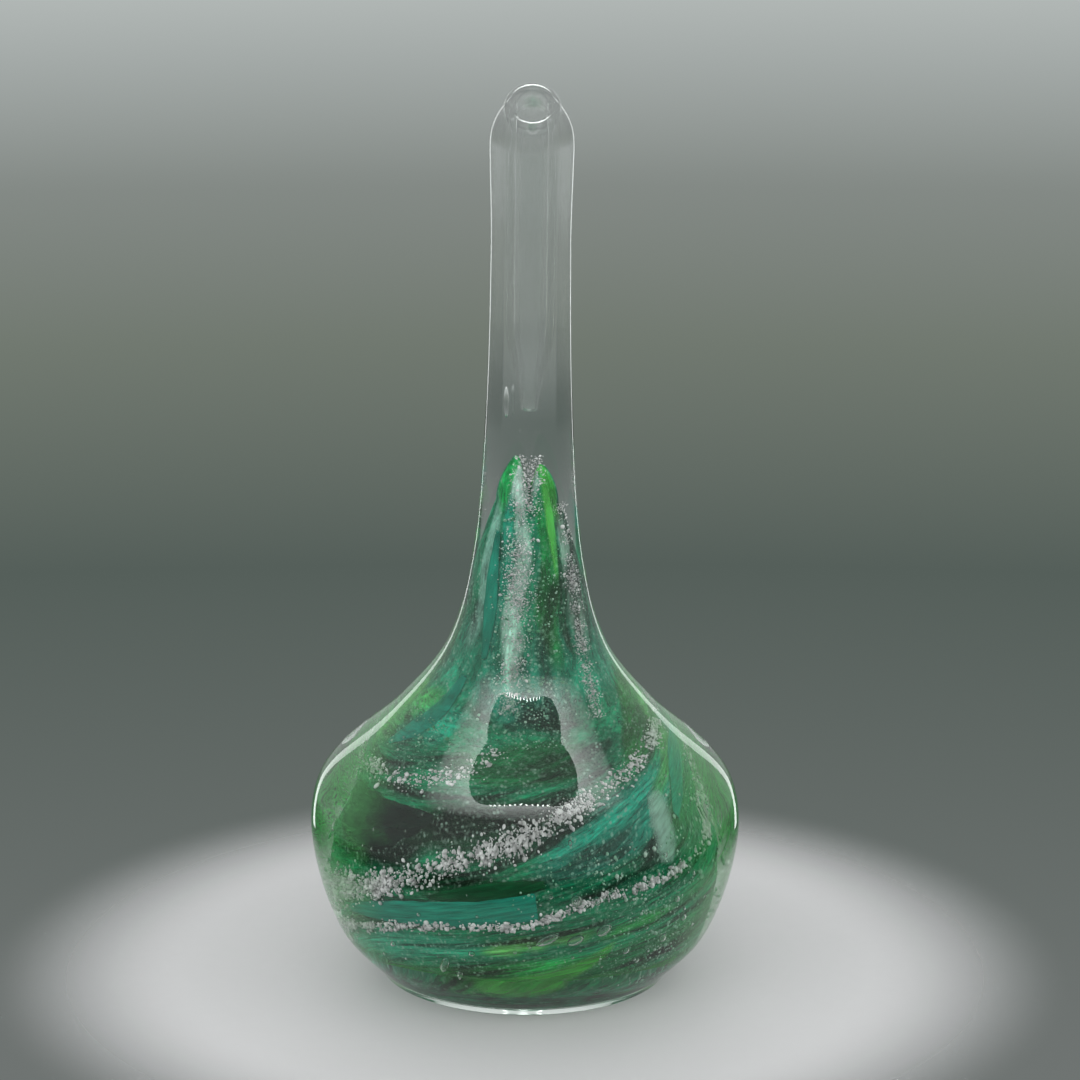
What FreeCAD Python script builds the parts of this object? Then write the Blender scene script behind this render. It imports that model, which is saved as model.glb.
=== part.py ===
"""Hand blown bud vase: a coloured glass core cased in thick clear glass, with a long bored neck.

Millimetres. +Z is up, the foot stands on z = 0, and the mouth faces -Y. The glass is built
upright about the Z axis, then the whole vase is leaned a little and ground flat at the foot.
"""
import FreeCAD, Part
import math
import os

from FreeCAD import Vector

# ---- Overall sizes -------------------------------------------------------------------------
HEIGHT = 180.0            # foot to the highest point of the lip
BODY_R = 42.7             # widest radius of the body
FOOT_R = 29.0             # flat ring that the vase stands on
LEAN = 0.62               # degrees that the neck leans towards +X

# ---- Outside of the clear glass ------------------------------------------------------------
FOOT_EDGE = 0.8           # rounding between the ground foot and the side
GRIND = 0.6               # glass left under the foot plane, to be ground off
BELLY_Z = 10.5            # lower swell of the body
BELLY_IN = 5.2            # how far the lower swell is inside the widest radius
WIDE_Z = 28.5             # height of the widest radius
CROWN_Z = 41.0            # top of the round body
CROWN_IN = 2.3            # how far the crown is inside the widest radius
SHOULDER_Z = 55.0
SHOULDER_R = 25.8
THROAT_Z = 68.0
THROAT_R = 15.8
ROOT_Z = 86.0             # where the neck starts
ROOT_R = 10.9
STEM_Z = 112.0
STEM_R = 8.7
NECK_R = 7.9              # slimmest radius of the neck
SLIM_AT = 0.65            # how far up the neck it is slimmest, as a share of the stem
SWELL_R = 8.3             # radius just under the bend

# ---- Bent mouth and its bore ---------------------------------------------------------------
MOUTH_TILT = 46.0         # degrees from upright towards -Y
BEND_R = 11.0             # centreline radius of the neck's bend
MOUTH_RUN = 2.4           # straight run between the bend and the lip
LIP_R = 5.5               # outside of the fire-polished lip
LIP_WAIST = 0.3           # how far the glass behind the lip is inside it
BORE_R = 3.2
BORE_ELBOW = 4.0          # centreline radius where the bore turns into the mouth
BORE_TAPER = 9.0          # length over which the bore closes in
BORE_TIP_R = 1.9          # radius of its rounded end
BORE_GAP = 3.5            # clear glass between the bore's end and the core's tip

# ---- Coloured core -------------------------------------------------------------------------
BODY_WALL = 17.2          # clear glass outside the core at the widest radius
CROWN_WALL = 17.0
SHOULDER_WALL = 10.6
THROAT_WALL = 6.0
ROOT_WALL = 4.5
CORE_TIP_Z = 112.0        # pointed top of the core, inside the neck
CORE_TIP_R = 0.5
CORE_FLOOR = 4.5          # clear glass under the core
CORE_FLOOR_R = 12.0
CORE_BELLY_Z = 9.0
CORE_BELLY_IN = 5.5
COAT_T = 2.4              # emerald coat over the first gather
HEART_TOP_Z = 84.0        # rounded top of the first gather

# ---- Seed bubble caught in the neck --------------------------------------------------------
SEED_LEN = 6.4
SEED_R = 0.42
SEED_OFF = 3.2            # from the vase axis, towards -X
SEED_FORE = 1.0           # from the vase axis, towards -Y
SEED_Z = 117.5

# ---- Trails and streaks laid on the core ---------------------------------------------------
# Each is a strip of glass marvered into the coat. Its route is a list of
# (azimuth in degrees from the front towards +X, height), low end first.
FRIT_T = 2.4              # thickness of a bubbly white trail
STREAK_T = 1.3            # thickness of a coloured streak
PROUD = 0.35              # share of the thickness that stands out of the coat
TAPER = 0.45              # share of the width left at the ends of a strip
END_THIN = 0.4            # share of the thickness that goes as the width does

TRAILS = {
    "frit_trail_main": ((-116, 17.5), (-69, 23.5), (-30, 30), (5, 35), (39, 41.8), (84, 45),
                        (130, 48), (175, 52.5)),
    "frit_trail_low": ((-118, 13.5), (-75, 15.6), (-30, 19.8), (2, 21.2), (31, 25.2), (68, 26.6),
                       (108, 27.5), (150, 30)),
    "frit_trail_shoulder": ((-168, 27), (-125, 30), (-86, 35.5), (-42, 42.5), (-16, 50)),
    "frit_neck_front": ((-12, 57), (-9, 71), (-10, 87), (-8, 100)),
    "frit_neck_side": ((62, 58.5), (70, 73), (73, 86), (80, 97)),
}
TRAIL_WIDTH = {
    "frit_trail_main": 6.0,
    "frit_trail_low": 4.0,
    "frit_trail_shoulder": 4.2,
    "frit_neck_front": 4.6,
    "frit_neck_side": 2.6,
}
STREAKS = {
    "teal_streak_low": ((-90, 18.6), (-52, 21.2), (-17, 25.0), (14, 28.8)),
    "teal_streak_right": ((75, 32.8), (84, 36), (98, 38.2), (116, 39.8)),
    "teal_streak_left": ((-84, 42.8), (-76, 49), (-66, 54.5), (-58, 63)),
    "teal_streak_neck": ((-46, 68), (-52, 79), (-60, 90)),
    "aqua_streak": ((59, 29.6), (61, 32), (62, 34.2), (62, 36.6)),
    "leaf_streak_foot": ((-26, 9.4), (0, 8.8), (22, 11.2), (38, 16)),
    "leaf_streak_left": ((-100, 39), (-104, 47), (-101, 56)),
    "leaf_streak_neck": ((42, 84), (44, 93), (44, 102)),
}
STREAK_WIDTH = {
    "teal_streak_low": 3.0,
    "teal_streak_right": 4.0,
    "teal_streak_left": 4.4,
    "teal_streak_neck": 2.8,
    "aqua_streak": 4.4,
    "leaf_streak_foot": 4.4,
    "leaf_streak_left": 4.0,
    "leaf_streak_neck": 1.5,
}
STATION_STEP = 9.0        # longest run between two sections of a strip

# ---- Worked out from the sizes above -------------------------------------------------------
TILT = math.radians(MOUTH_TILT)
LIP_RING = (LIP_R - BORE_R) / 2
RING_R = BORE_R + LIP_RING
LIP_REACH = MOUTH_RUN - LIP_RING
NECK_TOP = (HEIGHT - LIP_RING - (BEND_R + RING_R) * math.sin(TILT)
            - LIP_REACH * math.cos(TILT))
BORE_END = CORE_TIP_Z + BORE_GAP
OUT = Vector(0, -math.sin(TILT), math.cos(TILT))
BEND_END = Vector(0, -BEND_R * (1 - math.cos(TILT)), NECK_TOP + BEND_R * math.sin(TILT))
LIP_CENTRE = BEND_END + OUT * LIP_REACH


def spline(points):
    """A smooth curve through points."""
    curve = Part.BSplineCurve()
    curve.interpolate(Points=list(points))
    return curve


def side_curve(points):
    """A smooth curve through (radius, height) points in the XZ plane."""
    return spline([Vector(radius, 0, height) for radius, height in points])


def outside_curve():
    """Side of the vase from under the foot plane to the bend."""
    stem_run = NECK_TOP - STEM_Z
    return side_curve((
        (FOOT_R - GRIND, -GRIND),
        (FOOT_R, 0),
        (BODY_R - BELLY_IN, BELLY_Z),
        (BODY_R, WIDE_Z),
        (BODY_R - CROWN_IN, CROWN_Z),
        (SHOULDER_R, SHOULDER_Z),
        (THROAT_R, THROAT_Z),
        (ROOT_R, ROOT_Z),
        (STEM_R, STEM_Z),
        (NECK_R, STEM_Z + SLIM_AT * stem_run),
        (SWELL_R, NECK_TOP),
    ))


def core_curve(inset=0.0, top=CORE_TIP_Z, top_r=CORE_TIP_R):
    """Side of the coloured core, or of the first gather a coat's thickness inside it."""
    points = [
        (CORE_FLOOR_R - inset / 2, CORE_FLOOR + inset),
        (BODY_R - BODY_WALL - CORE_BELLY_IN - inset, CORE_BELLY_Z + inset / 2),
        (BODY_R - BODY_WALL - inset, WIDE_Z - 1),
        (BODY_R - CROWN_IN - CROWN_WALL - inset, CROWN_Z),
        (SHOULDER_R - SHOULDER_WALL - inset, SHOULDER_Z),
        (THROAT_R - THROAT_WALL - inset, THROAT_Z),
    ]
    if top > ROOT_Z:
        points.append((ROOT_R - ROOT_WALL - inset, ROOT_Z))
    points.append((top_r, top))
    return side_curve(points)


def revolve(curve, low, high):
    """Turn a side curve into a solid, closed by flat ends at the two heights."""
    first = curve.value(curve.FirstParameter)
    last = curve.value(curve.LastParameter)
    edges = [
        Part.makeLine(Vector(0, 0, low), first),
        curve.toShape(),
        Part.makeLine(last, Vector(0, 0, high)),
        Part.makeLine(Vector(0, 0, high), Vector(0, 0, low)),
    ]
    face = Part.Face(Part.Wire(edges))
    return face.revolve(Vector(0, 0, 0), Vector(0, 0, 1), 360)


def circle_at(centre, normal, radius):
    return Part.Wire([Part.Edge(Part.Circle(centre, normal, radius))])


def bent_mouth():
    """The neck's end: a tapering bend towards -Y with a rounded lip."""
    waist = LIP_R - LIP_WAIST
    sections = []
    steps = 5
    for step in range(steps + 1):
        share = step / steps
        angle = TILT * share
        centre = Vector(0, -BEND_R * (1 - math.cos(angle)), NECK_TOP + BEND_R * math.sin(angle))
        normal = Vector(0, -math.sin(angle), math.cos(angle))
        radius = waist + (SWELL_R - waist) * math.cos(share * math.pi / 2)
        sections.append(circle_at(centre, normal, radius))
    sections.append(circle_at(LIP_CENTRE, OUT, waist))
    bend = Part.makeLoft(sections, True, False)
    ring = Part.makeTorus(RING_R, LIP_RING, LIP_CENTRE, OUT)
    return bend.fuse(ring)


def bore():
    """Blind bore: out through the mouth, down the neck, and closed by a rounded taper."""
    turn = LIP_CENTRE - OUT * (-LIP_CENTRE.y / math.sin(TILT))
    tangent = BORE_ELBOW * math.tan(TILT / 2)
    low = Vector(0, 0, BORE_END + BORE_TAPER)
    turn_in = turn - Vector(0, 0, tangent)
    turn_out = turn + OUT * tangent
    middle = Vector(0, -BORE_ELBOW, turn_in.z) + BORE_ELBOW * Vector(
        0, math.cos(TILT / 2), math.sin(TILT / 2))
    beyond = LIP_CENTRE + OUT * LIP_R
    path = Part.Wire([
        Part.makeLine(low, turn_in),
        Part.Arc(turn_in, middle, turn_out).toShape(),
        Part.makeLine(turn_out, beyond),
    ])
    tube = path.makePipeShell([circle_at(low, Vector(0, 0, 1), BORE_R)], True, False)
    cone_low = BORE_END + BORE_TIP_R
    cone = Part.makeCone(BORE_TIP_R, BORE_R, low.z - cone_low, Vector(0, 0, cone_low))
    tip = Part.makeSphere(BORE_TIP_R, Vector(0, 0, cone_low))
    return tube.fuse([cone, tip])


def radius_finder(curve):
    """A function from height to the curve's radius."""
    count = 240
    span = curve.LastParameter - curve.FirstParameter
    places = [curve.value(curve.FirstParameter + span * i / count) for i in range(count + 1)]

    def radius(height):
        for low, high in zip(places, places[1:]):
            if low.z <= height <= high.z:
                share = (height - low.z) / (high.z - low.z)
                return low.x + (high.x - low.x) * share
        return places[0].x if height < places[0].z else places[-1].x
    return radius


def strip(route, width, thickness, radius):
    """A lens-shaped strip of glass that follows a route over the core's side."""
    curve = spline([Vector(azimuth, height, 0) for azimuth, height in route])
    span = curve.LastParameter - curve.FirstParameter
    sink = thickness * (0.5 - PROUD)

    def place(share):
        """Centre of the strip at a share of its route, and the way out of the core there."""
        flat = curve.value(curve.FirstParameter + span * share)
        turn = math.radians(flat.x)
        radial = Vector(math.sin(turn), -math.cos(turn), 0)
        slope = radius(flat.y + 0.5) - radius(flat.y - 0.5)
        outward = (radial - Vector(0, 0, slope)).normalize()
        return radial * radius(flat.y) + Vector(0, 0, flat.y) - outward * sink, outward

    rough = [place(i / 40)[0] for i in range(41)]
    length = sum(a.distanceToPoint(b) for a, b in zip(rough, rough[1:]))
    count = max(5, math.ceil(length / STATION_STEP))
    sections = []
    for step in range(count + 1):
        share = step / count
        centre, outward = place(share)
        ahead = place(min(1.0, share + 0.01))[0] - place(max(0.0, share - 0.01))[0]
        along = ahead.normalize()
        across = along.cross(outward).normalize()
        outward = across.cross(along).normalize()
        full = TAPER + (1 - TAPER) * math.sin(math.pi * share) ** 0.5
        half_w = width / 2 * full
        half_t = thickness / 2 * (1 - END_THIN + END_THIN * full)
        ring = []
        for k in range(8):
            angle = math.radians(45 * k)
            ring.append(centre + across * (half_w * math.cos(angle))
                        + outward * (half_t * math.sin(angle)))
        outer = spline(ring[:5])
        inner = spline(ring[4:] + ring[:1])
        sections.append(Part.Wire([outer.toShape(), inner.toShape()]))
    return Part.makeLoft(sections, True, False)


def seed_bubble():
    """Long thin air bubble beside the end of the bore."""
    ball = Part.makeSphere(SEED_R)
    stretch = FreeCAD.Matrix()
    stretch.scale(1, 1, SEED_LEN / (2 * SEED_R))
    bubble = ball.transformGeometry(stretch)
    bubble.translate(Vector(-SEED_OFF, -SEED_FORE, SEED_Z))
    return bubble


def leaned(shape):
    """Lean a piece about the foot, centred so that the widest ring stays over the origin."""
    turned = shape.copy()
    turned.rotate(Vector(0, 0, 0), Vector(0, 1, 0), LEAN)
    turned.translate(Vector(-WIDE_Z * math.sin(math.radians(LEAN)), 0, 0))
    return turned


def ground_foot(shape):
    """Grind the leaned glass flat on the foot plane and round the edge of the flat."""
    side = 4 * BODY_R
    slab = Part.makeBox(side, side, side, Vector(-side / 2, -side / 2, -side))
    flat = shape.cut(slab)
    rim = [edge for edge in flat.Edges if edge.BoundBox.ZMax < GRIND / 2]
    return flat.makeFillet(FOOT_EDGE, rim)


def one_solid(name, shape):
    """The single solid in a result."""
    solids = shape.Solids
    if len(solids) != 1:
        raise ValueError(f"{name} came out as {len(solids)} solids")
    return solids[0]


def build():
    """All the pieces of the vase, by name."""
    core_side = core_curve()
    core = revolve(core_side, CORE_FLOOR, CORE_TIP_Z)
    heart_top_r = max(0.5, radius_finder(core_side)(HEART_TOP_Z) - COAT_T)
    heart = revolve(core_curve(COAT_T, HEART_TOP_Z, heart_top_r),
                    CORE_FLOOR + COAT_T, HEART_TOP_Z)
    radius = radius_finder(core_side)

    pieces = {}
    laid = []
    strips = [(name, TRAILS[name], TRAIL_WIDTH[name], FRIT_T) for name in TRAILS]
    strips += [(name, STREAKS[name], STREAK_WIDTH[name], STREAK_T) for name in STREAKS]
    for name, route, width, thickness in strips:
        shape = strip(route, width, thickness, radius)
        if laid:
            shape = shape.cut(laid)
        pieces[name] = shape
        laid.append(shape)

    pieces["emerald_coat"] = core.cut([heart] + laid)
    pieces["first_gather"] = heart.cut(laid)
    outside = revolve(outside_curve(), -GRIND, NECK_TOP).fuse(bent_mouth())
    pieces["clear_casing"] = outside.cut([bore(), seed_bubble(), core] + laid)
    pieces = {name: leaned(shape) for name, shape in pieces.items()}
    pieces["clear_casing"] = ground_foot(pieces["clear_casing"])
    return {name: one_solid(name, shape) for name, shape in pieces.items()}


os.makedirs("parts", exist_ok=True)
for node, shape in build().items():
    shape.exportStep(os.path.join("parts", node + ".step"))
    box = shape.optimalBoundingBox()
    print(f"{node:22s} solids {len(shape.Solids)} valid {shape.isValid()} "
          f"volume {shape.Volume:10.1f} z {box.ZMin:7.2f} {box.ZMax:7.2f}")
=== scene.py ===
"""Hand blown bud vase: a swirled green core in thick clear glass, drawn up into a bent, bored neck.

Metres. +Z is up, the foot stands on z = 0 and the mouth faces -Y. Each piece is shaped upright
about the Z axis and then leaned as one with the others.
"""
import math
import random

import bmesh
import bpy
from bpy.props import FloatProperty, FloatVectorProperty, IntProperty, PointerProperty
from mathutils import Matrix, Vector, noise
from mathutils.geometry import interpolate_bezier


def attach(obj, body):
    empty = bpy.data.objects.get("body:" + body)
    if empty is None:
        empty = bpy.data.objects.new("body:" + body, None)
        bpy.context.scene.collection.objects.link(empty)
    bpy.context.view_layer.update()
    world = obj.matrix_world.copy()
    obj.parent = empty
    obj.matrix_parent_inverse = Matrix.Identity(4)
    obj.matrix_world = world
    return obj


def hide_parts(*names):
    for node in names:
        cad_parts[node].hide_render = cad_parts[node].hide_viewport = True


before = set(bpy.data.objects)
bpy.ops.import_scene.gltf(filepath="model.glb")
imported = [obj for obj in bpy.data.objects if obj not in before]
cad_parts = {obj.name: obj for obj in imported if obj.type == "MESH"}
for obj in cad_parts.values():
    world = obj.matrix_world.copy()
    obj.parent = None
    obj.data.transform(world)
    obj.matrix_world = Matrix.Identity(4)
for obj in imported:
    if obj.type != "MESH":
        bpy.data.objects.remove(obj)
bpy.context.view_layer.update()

bl_info = {
    "name": "Hand Blown Bud Vase",
    "version": (1, 0, 0),
    "blender": (4, 5, 0),
    "location": "View3D > Sidebar > Bud Vase",
    "description": "Builds a cased glass bud vase with a swirled core, frit trails and a bent mouth",
    "category": "Add Mesh",
}

MM = 0.001

# ---- Shapes shared by the pieces, in millimetres --------------------------------------------
FOOT_R = 29.0
FOOT_EDGE = 0.8
BODY_R = 42.7
WIDE_Z = 28.5
LEAN = math.radians(0.62)
LEAN_SHIFT = -WIDE_Z * math.sin(LEAN)
NECK_TOP = 166.94
SWELL_R = 8.3
SIDE = (  # (radius, height) up the outside, foot to bend
    (FOOT_R, FOOT_EDGE), (37.5, 10.5), (BODY_R, WIDE_Z), (40.4, 41.0), (25.8, 55.0),
    (15.8, 68.0), (10.9, 86.0), (8.7, 112.0), (7.9, 147.7), (SWELL_R, NECK_TOP),
)
TILT = math.radians(46.0)
BEND_R = 11.0
WAIST_R = 5.2
SWELL_CURVE = 2.6
LIP_RING = 1.15
RING_R = 4.35
LIP_REACH = 1.25
BORE_R = 3.2
BORE_TIP_R = 1.2
BORE_END = 115.5
BORE_TAPER = 18.0
# Share of plain, unbending film in the clear glass: in the bore, up the neck and at the lip.
FILM_BORE = 0.72
FILM_NECK = 0.74
FILM_LIP = 0.66
FILM_START = 112.0
FILM_RISE = 20.0
CORE_FLOOR = 4.5
CORE_TIP = 112.0
CORE_SIDE = (  # (radius, height) up the coloured core
    (12.0, CORE_FLOOR), (20.0, 9.0), (25.5, 27.5), (23.4, 41.0), (15.2, 55.0), (9.8, 68.0),
    (6.4, 86.0), (0.5, CORE_TIP),
)
COAT_T = 2.4
COAT_TIP = CORE_TIP - 3
BLUNT_Z = 99.0
LIFT_BELOW = 11.0  # the coat's foot is squashed up below this height
FLOOR_LIFT = 0.3
CLEFT = (-0.1, 0.9, 9.0)  # the notch in the coat's top: place, width, depth
CLEFT_START = 94.0
LOBE_DROP = 2.2
HEART_FOOT = 7.0
HEART_TOP = 92.0
VEIL_SIDE = (  # (radius, height) up the thin veil, which is open at both ends
    (0, 9.8), (25.5, 10), (28.4, 17), (29.6, 27), (27.6, 41), (19.2, 55), (12.6, 68),
)
VEIL_END = ((10.9, 0, 76), (0, 0, 76.2))
NECK_FOOT = 55.0
NECK_FLOW = 0.22  # less means longer streaks up the neck
BODY_FLOW = 1.7

# How far the streaks have turned round the axis at each height, in degrees.
TWIST = (
    (4.0, -390.0), (10.0, -340.0), (15.0, -280.0), (20.0, -215.0), (25.0, -165.0), (30.0, -125.0),
    (35.0, -92.0), (40.0, -60.0), (45.0, -30.0), (50.0, -10.0), (60.0, 0.0), (112.0, 10.0),
)


def between(pairs, value):
    """The value of a line of (place, amount) pairs at a place, level past its ends."""
    if value <= pairs[0][0]:
        return pairs[0][1]
    for (low, first), (high, last) in zip(pairs, pairs[1:]):
        if value <= high:
            return first + (last - first) * (value - low) / (high - low)
    return pairs[-1][1]


def smooth_line(points, per_span):
    """A smooth line through points, with the same number of steps in each span."""
    points = [Vector(p) for p in points]
    line = []
    for i in range(len(points) - 1):
        here, there = points[i], points[i + 1]
        span = (there - here).length
        back = points[i - 1] if i else here - (there - here)
        on = points[i + 2] if i + 2 < len(points) else there + (there - here)
        ease_in = (there - back) / ((here - back).length + span) * span / 3
        ease_out = (on - here) / ((on - there).length + span) * span / 3
        spans = interpolate_bezier(here, here + ease_in, there - ease_out, there, per_span + 1)
        line += spans[:-1]
    return line + [points[-1]]


def arc(centre, radius, start, end, steps):
    """Points on a circle in the profile's plane, from one angle to another in degrees."""
    turns = [math.radians(start + (end - start) * i / steps) for i in range(steps + 1)]
    return [Vector((centre[0] + radius * math.cos(t), 0, centre[1] + radius * math.sin(t)))
            for t in turns]


CORE_LINE = smooth_line([(r, 0, z) for r, z in CORE_SIDE], 16)
CORE_RADII = [(p.z, p.x) for p in CORE_LINE]


def core_radius(height):
    return between(CORE_RADII, height)


def on_core(azimuth, height, out=0.0):
    """A point on the core's side, an amount outside it. Azimuth is in degrees from the front."""
    turn = math.radians(azimuth)
    reach = core_radius(height) + out
    return Vector((reach * math.sin(turn), -reach * math.cos(turn), height))


def azimuth_of(point):
    return math.degrees(math.atan2(point.x, -point.y))


def leaned(point):
    """Lean a point of the upright vase towards +X, and turn millimetres into metres."""
    x = point.x * math.cos(LEAN) + point.z * math.sin(LEAN) + LEAN_SHIFT
    z = point.z * math.cos(LEAN) - point.x * math.sin(LEAN)
    return Vector((x, point.y, z)) * MM


def bent(point):
    """Carry a point of the straight neck round the bend at its top."""
    past = point.z - NECK_TOP
    if past <= 0:
        return point
    angle = min(past / BEND_R, TILT)
    run = max(0.0, past - BEND_R * TILT)
    out = Vector((0, -math.sin(angle), math.cos(angle)))
    centre = Vector((0, -BEND_R * (1 - math.cos(angle)), NECK_TOP + BEND_R * math.sin(angle)))
    return centre + out * run + Vector((point.x, point.y * math.cos(angle),
                                        point.y * math.sin(angle)))


def spun(profile, steps):
    """A closed bmesh turned from a line of points that starts and ends on the axis."""
    bm = bmesh.new()
    verts = [bm.verts.new(p) for p in profile]
    edges = [bm.edges.new(pair) for pair in zip(verts, verts[1:])]
    bmesh.ops.spin(bm, geom=verts + edges, cent=(0, 0, 0), axis=(0, 0, 1), dvec=(0, 0, 0),
                   angle=math.tau, steps=steps, use_merge=True, use_duplicate=False)
    bmesh.ops.remove_doubles(bm, verts=bm.verts, dist=1e-4)
    bmesh.ops.recalc_face_normals(bm, faces=bm.faces)
    return bm


def piece_from(bm, name, material, slot, nodes=()):
    """Turn a bmesh into a smooth piece that rides on the vase."""
    for face in bm.faces:
        face.smooth = True
    mesh = bpy.data.meshes.new(name)
    bm.to_mesh(mesh)
    bm.free()
    piece = bpy.data.objects.new(name, mesh)
    mesh.materials.append(material)
    bpy.context.scene.collection.objects.link(piece)
    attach(piece, "root")
    if nodes:
        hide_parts(*nodes)
    return piece


def srgb(code):
    """A #rrggbb colour in linear light."""
    parts = [int(code[i:i + 2], 16) / 255 for i in (1, 3, 5)]
    return tuple(p / 12.92 if p <= 0.04045 else ((p + 0.055) / 1.055) ** 2.4 for p in parts)


# ---- Settings -------------------------------------------------------------------------------
def colour(name, description, code):
    return FloatVectorProperty(name=name, description=description, subtype="COLOR", size=3,
                               min=0, max=1, default=srgb(code))


class BudVaseCasing(bpy.types.PropertyGroup):
    """The clear glass."""
    steps: IntProperty(name="Steps", description="Faces round the vase", default=176, min=24)
    ripple: FloatProperty(name="Ripple", description="Height of the hand-worked ripples",
                          default=0.00005, min=0, max=0.001, unit="LENGTH", precision=6)
    tint: colour("Tint", "Colour of the clear glass", "#fbfffd")


class BudVaseCore(bpy.types.PropertyGroup):
    """The coloured core."""
    steps: IntProperty(name="Steps", description="Faces round the core", default=240, min=24)
    lumps: FloatProperty(name="Lumps", description="How uneven the core is, in millimetres",
                         default=0.45, min=0, max=2)
    emerald: colour("Emerald", "Main green of the coat", "#07704a")
    deep: colour("Deep green", "Dark glass of the first gather", "#06301a")
    teal: colour("Teal", "Blue-green streaks", "#12806a")
    aqua: colour("Aqua", "Pale blue-green patch", "#8fb9a6")
    leaf: colour("Leaf green", "Yellow-green streaks", "#4aa548")
    veil: colour("Veil", "Thin green glass round the core", "#2f8a3e")


class BudVaseFrit(bpy.types.PropertyGroup):
    """The white trails and the bubbles."""
    white: colour("White", "Frit trails", "#f0eeef")
    beads: FloatProperty(name="Beads", description="Beads per millimetre of trail", default=44.0,
                         min=1, max=200)
    seed: IntProperty(name="Seed", description="Seed of the scatter", default=11, min=0)


class BudVaseStage(bpy.types.PropertyGroup):
    """Floor, lights and camera."""
    floor: colour("Floor", "Pale floor", "#bcbabc")
    camera: FloatVectorProperty(name="Camera", description="Where the camera stands", size=3,
                                subtype="TRANSLATION", unit="LENGTH",
                                default=(0.00303, -0.85323, 0.33095))
    dip: FloatProperty(name="Dip", description="How far the camera looks down", subtype="ANGLE",
                       unit="ROTATION", default=math.radians(15.84))
    lens: FloatProperty(name="Lens", description="Focal length in millimetres", default=150.2,
                        min=10)


# ---- Materials ------------------------------------------------------------------------------
def new_material(name):
    """An empty node material and a function that adds nodes to it."""
    material = bpy.data.materials.new(name)
    material.use_nodes = True
    tree = material.node_tree
    tree.nodes.clear()
    return material, maker(tree)


def maker(tree):
    """add(type, inputs by name, settings by name) for one node tree."""
    def add(kind, inputs=None, **settings):
        node = tree.nodes.new(kind)
        for key, value in settings.items():
            setattr(node, key, value)
        for key, value in (inputs or {}).items():
            socket = node.inputs[key]
            if isinstance(value, bpy.types.NodeSocket):
                tree.links.new(value, socket)
            else:
                socket.default_value = value
        return node
    return add


def ramp(add, fac, stops):
    """A colour ramp with these (place, colour or grey) stops."""
    node = add("ShaderNodeValToRGB", {"Fac": fac})
    marks = node.color_ramp.elements
    while len(marks) < len(stops):
        marks.new(0.5)
    for mark, (place, tone) in zip(marks, stops):
        mark.position = place
        mark.color = (tone, tone, tone, 1) if isinstance(tone, (int, float)) else (*tone, 1)
    return node.outputs["Color"]


def stretched(add, value, low, high, **ends):
    """A value carried from 0 to 1, or from the ends given, to low to high."""
    inputs = {"Value": value, "To Min": low, "To Max": high}
    inputs.update({"From " + key.capitalize(): end for key, end in ends.items()})
    return add("ShaderNodeMapRange", inputs).outputs[0]


def blend(add, fac, first, second, mode="MIX"):
    """The colour of a Mix node."""
    node = add("ShaderNodeMix", data_type="RGBA", blend_type=mode)
    tree = node.id_data
    for socket, value in ((node.inputs[0], fac), (node.inputs[6], first), (node.inputs[7], second)):
        if isinstance(value, bpy.types.NodeSocket):
            tree.links.new(value, socket)
        elif socket.type == "RGBA":
            socket.default_value = (*value, 1)
        else:
            socket.default_value = value
    return node.outputs[2]


def streak_group():
    """Noise drawn out along the flow of the glass: wide bands, fine threads and specks."""
    known = bpy.data.node_groups.get("Glass flow")
    if known:
        return known
    group = bpy.data.node_groups.new("Glass flow", "ShaderNodeTree")
    face = group.interface
    for name, start in (("Band scale", 0.12), ("Thread scale", 0.5), ("Speck scale", 2.2)):
        socket = face.new_socket(name, in_out="INPUT", socket_type="NodeSocketFloat")
        socket.default_value = start
    for name in ("Bands", "Threads", "Fine", "Specks"):
        face.new_socket(name, in_out="OUTPUT", socket_type="NodeSocketFloat")
    add = maker(group)
    inlet = add("NodeGroupInput")
    flow = add("ShaderNodeAttribute", attribute_name="flow").outputs["Vector"]
    outlet = add("NodeGroupOutput")
    for name, scale, detail, rough, wave in (
            ("Bands", inlet.outputs["Band scale"], 3.0, 0.55, 0.4),
            ("Threads", inlet.outputs["Thread scale"], 4.0, 0.6, 0.2), ("Fine", 1.9, 2.0, 0.7, 0.0)):
        grain = add("ShaderNodeTexNoise", {"Vector": flow, "Scale": scale, "Detail": detail,
                                           "Roughness": rough, "Distortion": wave})
        group.links.new(grain.outputs[0], outlet.inputs[name])
    place = add("ShaderNodeTexCoord").outputs["Object"]
    scale = add("ShaderNodeMath", {0: inlet.outputs["Speck scale"], 1: 1000.0},
                operation="MULTIPLY").outputs[0]
    cells = add("ShaderNodeTexVoronoi", {"Vector": place, "Scale": scale})
    size = add("ShaderNodeSeparateColor", {0: cells.outputs["Color"]}).outputs[0]
    round_spot = add("ShaderNodeMath", {0: size, 1: cells.outputs["Distance"]},
                     operation="SUBTRACT")
    fine = add("ShaderNodeTexNoise", {"Vector": place, "Scale": scale, "Detail": 1.0})
    spots = add("ShaderNodeMapRange", {"Value": round_spot.outputs[0], "From Min": 0.38,
                                       "From Max": 0.62})
    mottle = add("ShaderNodeMapRange", {"Value": fine.outputs["Fac"], "From Min": 0.5,
                                        "From Max": 0.72, "To Max": 0.5})
    specks = add("ShaderNodeMath", {0: spots.outputs[0], 1: mottle.outputs[0]},
                 operation="MAXIMUM")
    group.links.new(specks.outputs[0], outlet.inputs["Specks"])
    return group


def flow_of(add, band, thread, speck):
    """The glass flow at these scales."""
    node = add("ShaderNodeGroup", node_tree=streak_group())
    for name, value in (("Band scale", band), ("Thread scale", thread), ("Speck scale", speck)):
        node.inputs[name].default_value = value
    return node.outputs


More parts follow.
